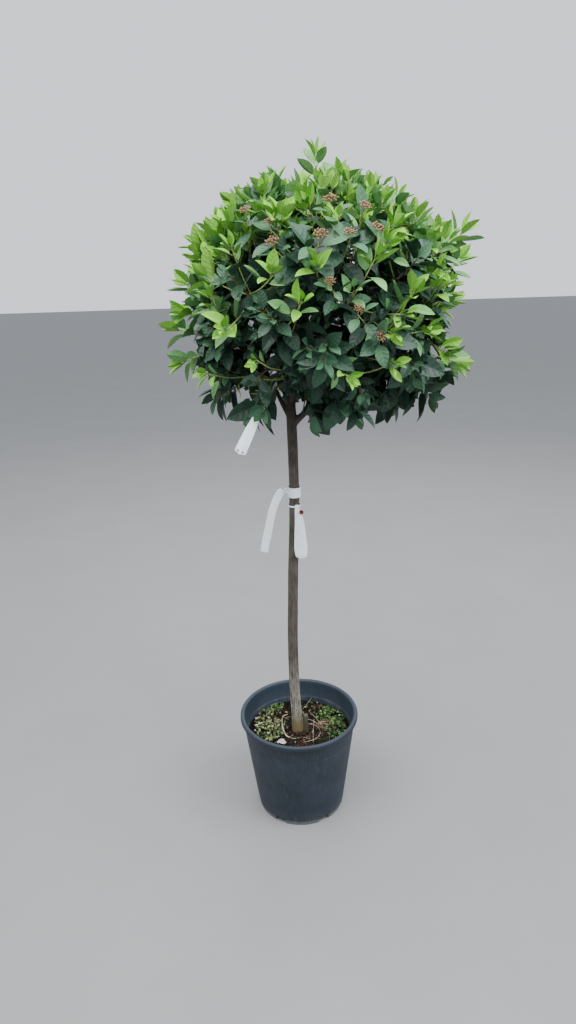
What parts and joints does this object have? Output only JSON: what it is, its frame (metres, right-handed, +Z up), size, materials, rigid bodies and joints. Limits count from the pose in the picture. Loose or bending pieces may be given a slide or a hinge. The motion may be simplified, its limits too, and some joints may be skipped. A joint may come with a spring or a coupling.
{
  "type": "potted laurustinus",
  "caption": "Evergreen laurustinus grown as a standard: a bare stem carries a rounded leafy head with bud clusters, rooted in a round tapered nursery pot.",
  "frame": {"origin": "middle of the pot's flat underside, at the level it stands on", "axes": "+Z up along the stem, +X to the right and -Y towards the viewer in the picture's view"},
  "size_m": [0.8247, 0.7598, 1.8395],
  "materials": {
    "pot": "satin, scuffed and dusty",
    "compost": "crumbly, moist",
    "bark": "fine grey-brown bark",
    "leaves": "glossy above, duller below",
    "label": "matt, blank"
  },
  "bodies": {
    "root": {"pot": "pot", "soil": "compost", "trunk": "bark", "bough_top": "bark", "bough_upper_left": "bark", "bough_upper_front": "bark", "bough_upper_right": "bark", "bough_upper_back": "bark", "bough_lower_left": "bark", "bough_lower_front": "bark", "bough_lower_right": "bark", "bough_lower_back": "bark", "leaves_top": "leaves", "leaves_upper_left": "leaves", "leaves_upper_front": "leaves", "leaves_upper_right": "leaves", "leaves_upper_back": "leaves", "leaves_lower_left": "leaves", "leaves_lower_front": "leaves", "leaves_lower_right": "leaves", "leaves_lower_back": "leaves", "label_band": "label", "label_tag": "label", "label_leaf_tag": "label"}
  },
  "joints": []
}
